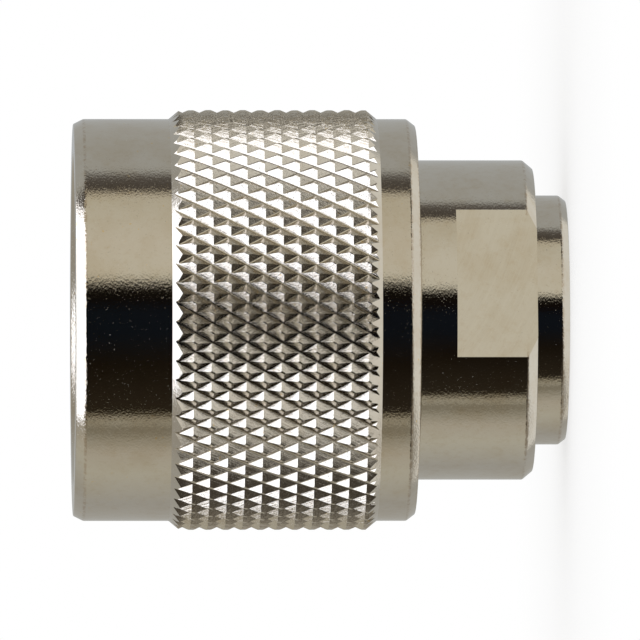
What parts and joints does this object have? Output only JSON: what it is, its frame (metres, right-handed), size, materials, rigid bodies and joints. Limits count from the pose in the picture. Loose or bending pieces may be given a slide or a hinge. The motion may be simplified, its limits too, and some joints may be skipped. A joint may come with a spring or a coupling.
{
  "type": "coaxial cable plug",
  "caption": "Straight round coaxial plug: diamond-knurled spinning coupling nut, slotted outer contact, centre pin, body with two wrench flats and a collar, inner cable clamp.",
  "frame": {"origin": "centre of the collar's rear face, at the cable end, on the surface that the plug stands on", "axes": "+Z along the cable axis up to the mating end; the wrench flats face -Y and +Y; +X completes the right-handed frame"},
  "size_m": [0.0208, 0.0208, 0.0245],
  "materials": {
    "nickel_plated_brass": "polished",
    "spring_bronze": "satin",
    "gold_plated_brass": "polished",
    "ptfe": "satin",
    "silicone_rubber": "matte"
  },
  "bodies": {
    "plug": {"body_shell": "nickel_plated_brass", "outer_contact": "nickel_plated_brass", "interface_gasket": "silicone_rubber", "front_insulator": "ptfe", "centre_pin": "gold_plated_brass", "rear_insulator": "ptfe", "braid_clamp": "nickel_plated_brass", "cable_gasket": "silicone_rubber", "clamp_washer": "nickel_plated_brass", "clamp_nut": "nickel_plated_brass"},
    "snap_ring": {"retaining_ring": "spring_bronze"},
    "nut": {"coupling_nut": "nickel_plated_brass"}
  },
  "joints": [
    {"name": "nut_float", "type": "slide", "parent": "plug", "child": "snap_ring", "axis": [0, 0, 1], "range_m": [0, 0.0003]},
    {"name": "nut_spin", "type": "hinge", "parent": "snap_ring", "child": "nut", "pos_m": [0, 0, 0.016], "axis": [0, 0, 1], "continuous": true}
  ]
}
